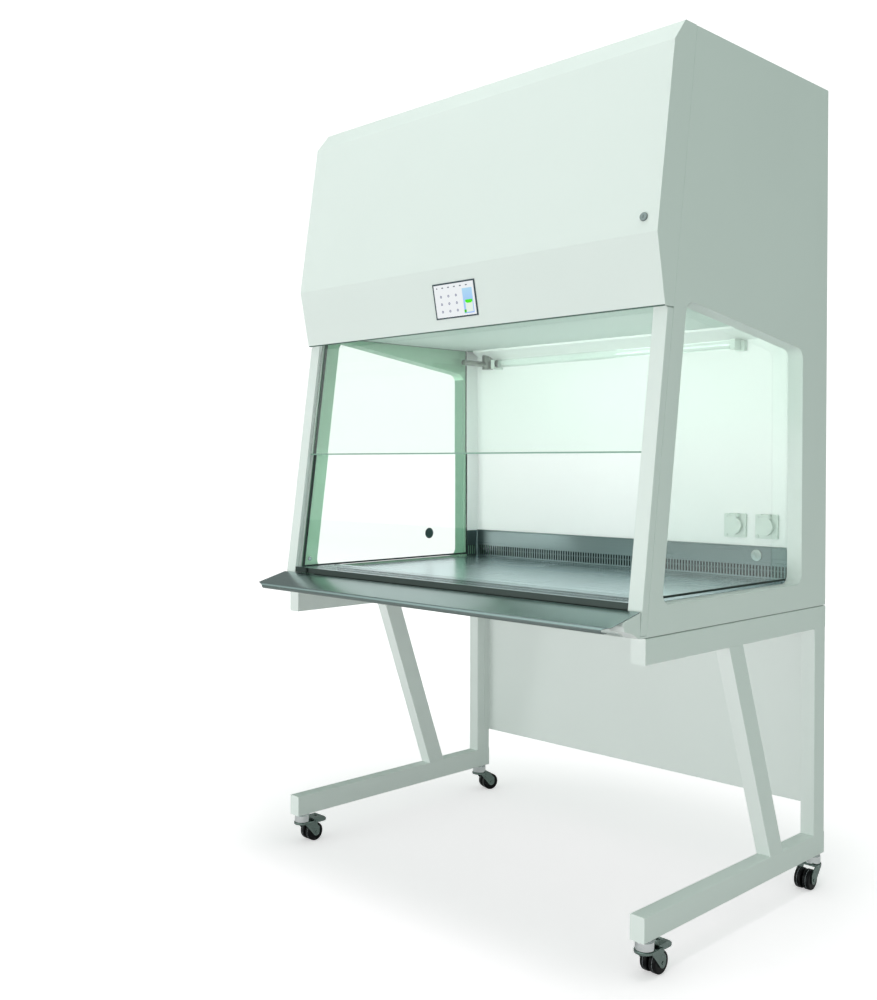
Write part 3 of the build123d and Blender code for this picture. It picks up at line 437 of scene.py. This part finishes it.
# stainless drawn near black as painted shade: the drain pan, the trays' hidden faces and the walls of the
# rear slots
steel_in_painted_shade = moulded("stainless_painted_shade_dark", "#121615", 0.7, 0.002, 0.00005, 0.15)
broken_edges("drain_pan", steel_in_painted_shade, 0.0004)
for node in ("worktop_left", "worktop_middle", "worktop_right"):
    tray = broken_edges(node, stainless, 0.0004)
    # its front wall and underside, seen only through the slots, in painted shade
    second_material(tray, steel_in_painted_shade, lambda at, normal: normal.y < -0.7 or normal.z < -0.5)
# the slotted rear panel's stainless is drawn darker than the trays', as painted shade
upright_steel_painted_shade = brushed("upright_stainless_painted_shade", "#7D8C8C", "#8A9898", 0.28, "X", 0.05)
upright = broken_edges("slotted_back_panel", upright_steel_painted_shade, 0.0002)
# the walls of its slots lie in their own shade
rear_slots_half, rear_slots_low, rear_slots_top = 0.585, 0.842, 0.8765
second_material(upright, steel_in_painted_shade, lambda at, normal: (
    abs(at.x) < rear_slots_half and rear_slots_low < at.z < rear_slots_top and abs(normal.y) < 0.7))
for node in ("back_liner", "rear_baffle"):
    broken_edges(node, chamber_white, 0.0004)
broken_edges("ceiling_diffuser", ceiling_white, 0.0004)
broken_edges("sash_stop_block", gasket_rubber, 0)


def flat_strip(x0, x1, y0, y1):
    """A flat rectangle of sheet, left selected."""
    bpy.ops.mesh.primitive_plane_add(size=1, location=((x0 + x1) / 2, (y0 + y1) / 2, 0))
    bpy.context.object.scale = (x1 - x0, y1 - y0, 1)
    bpy.ops.object.transform_apply(location=True, rotation=True, scale=True)
    return bpy.context.object


# Intake grille. Stainless sheet, punched with three rows of slots 6.6 mm wide and 10 mm apart that lean to
# one side, drawn thin so that they show from so low. It lies at the chamber's mouth, almost level, and ends
# in an upright strip, which stands in its own shade.
slot_pitch, row_deep, slot_rows, land = 0.010, 0.042, 3, 0.0017
grille_half, grille_back, grille_front = 0.6090, -0.2380, -0.3900
slots_front, slots_half, lean = -0.3800, 0.5920, 0.45
plate_low, plate_rise, sheet_thin = 0.8470, 0.0010, 0.0002
# a few cells more than the width, because the slots lean
cells = int(2 * (slots_half + 0.04) / slot_pitch)
select_only(frame["nodes"]["front_grille"])
cell = flat_strip(0, slot_pitch, 0, row_deep)
bpy.ops.object.mode_set(mode="EDIT")
bpy.ops.mesh.select_all(action="SELECT")
bpy.ops.mesh.inset(thickness=land)
bpy.ops.mesh.delete(type="FACE")
bpy.ops.object.mode_set(mode="OBJECT")
for label, count, step in (("columns", cells, (slot_pitch, 0, 0)), ("rows", slot_rows, (0, row_deep, 0))):
    repeat = cell.modifiers.new(label, "ARRAY")
    repeat.count = count
    repeat.use_relative_offset = False
    repeat.use_constant_offset = True
    repeat.constant_offset_displace = step
    repeat.use_merge_vertices = True
    repeat.merge_threshold = 0.0001
    bpy.ops.object.modifier_apply(modifier=label)
for point in cell.data.vertices:
    leaning = point.co.x - cells * slot_pitch / 2 + lean * (point.co.y - slot_rows * row_deep / 2)
    point.co.x = min(max(leaning, -slots_half), slots_half)
    point.co.y += slots_front
slots_back = slots_front + slot_rows * row_deep
# the plain margins behind, before and beside the slots
parts = [cell, flat_strip(-grille_half, grille_half, slots_back, grille_back),
         flat_strip(-grille_half, grille_half, grille_front, slots_front),
         flat_strip(-grille_half, -slots_half, slots_front, slots_back),
         flat_strip(slots_half, grille_half, slots_front, slots_back)]
for part in parts:
    part.select_set(True)
bpy.context.view_layer.objects.active = cell
bpy.ops.object.join()
grille = bpy.context.object
grille.name = "front_grille_finished"
bpy.ops.object.mode_set(mode="EDIT")
bpy.ops.mesh.select_all(action="SELECT")
bpy.ops.mesh.remove_doubles(threshold=0.0002)
bpy.ops.mesh.dissolve_degenerate()
bpy.ops.mesh.normals_make_consistent(inside=False)
bpy.ops.object.mode_set(mode="OBJECT")
for point in grille.data.vertices:
    point.co.z = plate_low + (grille_back - point.co.y) / (grille_back - grille_front) * plate_rise
sheet = grille.modifiers.new("sheet", "SOLIDIFY")
sheet.thickness = sheet_thin
sheet.offset = 0
bpy.ops.object.modifier_apply(modifier="sheet")
give(grille, stainless)
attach(grille, frame["nodes"]["front_grille"]["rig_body"])
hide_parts("front_grille")

# the upright strip under the plate's front
apron_half_high, apron_y, apron_z, apron_thick = 0.008, -0.3895, 0.8405, 0.0012
bpy.ops.object.select_all(action="DESELECT")
apron = flat_strip(-grille_half, grille_half, -apron_half_high, apron_half_high)
apron.name = "grille_apron"
apron.rotation_euler = (math.pi / 2, 0, 0)
apron.location = (0, apron_y, apron_z)
bpy.ops.object.transform_apply(location=True, rotation=True, scale=True)
sheet = apron.modifiers.new("sheet", "SOLIDIFY")
sheet.thickness = apron_thick
sheet.offset = 0
bpy.ops.object.modifier_apply(modifier="sheet")
give(apron, pan_steel)
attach(apron, frame["nodes"]["front_grille"]["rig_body"])


# Armrest. 1.5 mm stainless sheet across the whole front, sloping to the user, its edge rolled under on a
# press brake and cut back at both ends where it passes the cheeks.
arm_back, arm_top, arm_slope = -0.3990, 0.8318, math.radians(14.2)
roll_y, roll_radius, lip = -0.4962, 0.0080, 0.012
arm_half, arm_cut, arm_thick = 0.6495, 0.028, 0.0014
profile = [(arm_back, arm_top)]
roll_top = arm_top - (arm_back - roll_y) * math.tan(arm_slope)
for step in range(13):
    turned = math.pi / 2 + arm_slope + (math.pi - arm_slope) * step / 12
    profile.append((roll_y + roll_radius * math.cos(turned),
                    roll_top - roll_radius + roll_radius * math.sin(turned)))
profile.append((roll_y + lip, roll_top - 2 * roll_radius))
select_only(frame["nodes"]["armrest"])
bpy.ops.mesh.primitive_grid_add(x_subdivisions=40, y_subdivisions=len(profile) - 1, size=2)
arm = bpy.context.object
arm.name = "armrest_finished"
for point in arm.data.vertices:
    row = round((point.co.y + 1) / 2 * (len(profile) - 1))
    y, z = profile[row]
    # the roll ends short of the sheet's corners
    short = arm_cut * min(1, row / 6) if row else 0
    point.co = (point.co.x * (arm_half - short), y, z)
sheet = arm.modifiers.new("sheet", "SOLIDIFY")
sheet.thickness = arm_thick
sheet.offset = 0
bpy.ops.object.modifier_apply(modifier="sheet")
bpy.ops.object.shade_smooth_by_angle(angle=math.radians(35))
# the armrest's stainless is drawn darker than the trays', as painted shade
arm_steel_painted_shade = brushed("armrest_stainless_painted_shade", "#92A3A3", "#9FAFAF", 0.24, "X", 0.02)
give(arm, arm_steel_painted_shade)
roll_steel = brushed("rolled_edge_in_shade", "#7C8B88", "#889693", 0.24, "X", 0.02)
second_material(arm, roll_steel, lambda at, normal: at.y < -0.49 and normal.z < 0.2)
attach(arm, frame["nodes"]["armrest"]["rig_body"])
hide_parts("armrest")


# Hood. One folded sheet with its welded side cheeks, hinged at its top edge, in the same powder coat. It
# carries the touch screen in its painted frame and the cylinder lock.
hood = broken_edges("front_hood", cool_white, 0.0006)
# the faces that look down under its lip are drawn in a dark grey-green as painted shade
lip_underside_painted_shade = moulded("fascia_underside_painted_shade", "#4F6B60", 0.6, 0.0008, 0.00005)
second_material(hood, lip_underside_painted_shade, lambda at, normal: normal.z < -0.5 and at.z < 1.522)
broken_edges("hood_hinges", bright_zinc, 0)
frame_navy = moulded("painted_navy_frame", "#33434B", 0.4, 0.0008, 0.00002)
broken_edges("screen_frame", frame_navy, 0.0003)


def lit_display(name, middle, up):
    """The screen switched on: nine round buttons, a bar of marks, and a blue gauge with a green wedge.
    middle is the middle of its face and up its upward direction on the slanted face."""
    material, tree, output = new_material(name)

    def calc(operation, *values):
        return add(tree, "ShaderNodeMath", dict(enumerate(values)), operation=operation).outputs[0]

    def rectangle(u, v, across, high):
        return calc("MULTIPLY", calc("COMPARE", u, 0.0, across / 2), calc("COMPARE", v, 0.0, high / 2))

    def paint(ground, colour, mask):
        return add(tree, "ShaderNodeMix", {0: mask, 6: ground, 7: colour}, data_type="RGBA").outputs[2]

    # u to the right and v up the face, both in millimetres from the middle
    from_middle = {0: in_object_space(tree), 1: middle}
    off = add(tree, "ShaderNodeVectorMath", from_middle, operation="SUBTRACT").outputs[0]
    rise = add(tree, "ShaderNodeVectorMath", {0: off, 1: up}, operation="DOT_PRODUCT").outputs["Value"]
    u = calc("MULTIPLY", add(tree, "ShaderNodeSeparateXYZ", {0: off}).outputs[0], 1000.0)
    v = calc("MULTIPLY", rise, 1000.0)

    def moved(value, by):
        return calc("SUBTRACT", value, by)

    def ring(pitch_u, pitch_v, at_u, at_v):
        spot = add(tree, "ShaderNodeCombineXYZ", {
            0: calc("WRAP", moved(u, at_u), pitch_u / 2, -pitch_u / 2),
            1: calc("WRAP", moved(v, at_v), pitch_v / 2, -pitch_v / 2)})
        return add(tree, "ShaderNodeVectorMath", {0: spot.outputs[0]}, operation="LENGTH").outputs["Value"]

    buttons = rectangle(moved(u, -22.0), moved(v, -8.0), 84.0, 60.0)
    round_button = calc("MULTIPLY", buttons, calc("LESS_THAN", ring(28.0, 20.0, -22.0, -8.0), 3.6))
    button_dot = calc("MULTIPLY", buttons, calc("LESS_THAN", ring(28.0, 20.0, -22.0, -8.0), 1.2))
    marks = calc("MULTIPLY", rectangle(u, moved(v, 35.0), 128.0, 3.0),
                 calc("LESS_THAN", ring(22.0, 100.0, 3.0, 35.0), 3.2))
    gauge = rectangle(moved(u, 48.0), moved(v, -6.0), 36.0, 66.0)
    fade = add(tree, "ShaderNodeMapRange", {0: v, 1: -38.0, 2: 26.0}).outputs[0]
    blue = paint(hex_colour("#9CC0FF"), hex_colour("#B4E0FA"), fade)
    # a wedge that points down, over a pale panel
    slope = calc("LESS_THAN", calc("ABSOLUTE", moved(u, 50.0)),
                 calc("MULTIPLY", calc("ADD", v, 17.0), 1.6))
    wedge = calc("MULTIPLY", rectangle(moved(u, 50.0), moved(v, -8.0), 26.0, 9.0), slope)
    panel = rectangle(moved(u, 50.0), moved(v, -22.0), 26.0, 28.0)
    lit = rectangle(moved(u, 34.0), moved(v, -33.0), 8.0, 8.0)
    picture = paint(hex_colour("#F4F8FA"), hex_colour("#8E93AC"), round_button)
    picture = paint(picture, hex_colour("#F4F8FA"), button_dot)
    picture = paint(picture, hex_colour("#5A6470"), marks)
    picture = paint(picture, blue, gauge)
    picture = paint(picture, hex_colour("#EAF8EC"), panel)
    picture = paint(picture, hex_colour("#50F018"), wedge)
    picture = paint(picture, hex_colour("#3CC81E"), lit)
    glass = add(tree, "ShaderNodeBsdfPrincipled", {
        "Base Color": (0.01, 0.01, 0.012, 1), "Roughness": 0.12, "Specular IOR Level": 0.25,
        "Emission Color": picture, "Emission Strength": 0.92})
    tree.links.new(glass.outputs[0], output.inputs["Surface"])
    return material


display = lit_display("lit_display", (0.0, -0.32483, 1.59512), (0.0, -0.19143, 0.98151))
broken_edges("touch_screen", display, 0)
chromed = zinc_plate("chrome_plate", "#C4CACC", 0.10)
broken_edges("key_lock", zinc_plate("lock_barrel", "#5F6B6B", 0.15), 0)


# Chamber lamp. A sealed strip behind the fascia, with a cover of frosted acrylic that lights the work space
# evenly; it can be seen only from below and when the hood is up.
def lit_cover(name, colour, strength):
    """A frosted cover glowing evenly with the tubes behind it."""
    material, tree, output = new_material(name)
    place = in_object_space(tree)
    clouds = add(tree, "ShaderNodeTexNoise", {"Vector": place, "Scale": 4.0})
    gloss = add(tree, "ShaderNodeMapRange", {0: clouds.outputs[0], 3: 0.45, 4: 0.6})
    cover = add(tree, "ShaderNodeBsdfPrincipled", {
        "Base Color": hex_colour(colour), "Roughness": gloss.outputs[0],
        "Emission Color": hex_colour(colour), "Emission Strength": strength})
    tree.links.new(cover.outputs[0], output.inputs["Surface"])
    return material


lamp_cover = lit_cover("frosted_lamp_cover", "#FBFFFD", 1.25)
broken_edges("chamber_lamp", lamp_cover, 0.0005)

# Small fittings. The quartz ultraviolet tube in its two moulded holders, the turned steel airflow sensor,
# the two sockets with their sprung lids of white plastic, the quarter-turn latch, the rubber plug in the
# left pane and the dome-headed screws.
tube_glass = float_glass("quartz_tube", "#F0F6F3")
white_abs = moulded("moulded_white_abs", "#DCE6DF", 0.38, 0.0010, 0.00004)
broken_edges("uv_tube", tube_glass, 0)
broken_edges("uv_holders", white_abs, 0.0008)
broken_edges("airflow_sensor", zinc_plate("sensor_steel", "#6A6E62", 0.15), 0.0004)
broken_edges("socket_bases", white_abs, 0.0005)
for side in ("left", "right"):
    broken_edges("socket_lid_" + side, white_abs, 0.0008)
broken_edges("latch_core", zinc_plate("latch_steel", "#C3CEC9", 0.15), 0.0003)
broken_edges("port_plug", moulded("plug_rubber", "#35504D", 0.5, 0.001, 0.00005), 0.0008)
broken_edges("dome_screws", chromed, 0.001)

# Air handling above the ceiling, behind the hood. Two pleated glass-paper filters, a folded sheet plenum,
# and a fan of cast and pressed aluminium. None of it is seen until the hood is up.
filter_paper = moulded("pleated_filter_media", "#E9E9E4", 0.85, 0.003, 0.0004)
for node in ("supply_filter", "exhaust_filter"):
    broken_edges(node, filter_paper, 0.001)
broken_edges("fan_plenum", stainless, 0.0004)
broken_edges("fan_motor", anodised, 0.0004)
broken_edges("fan_impeller", anodised, 0.0004)
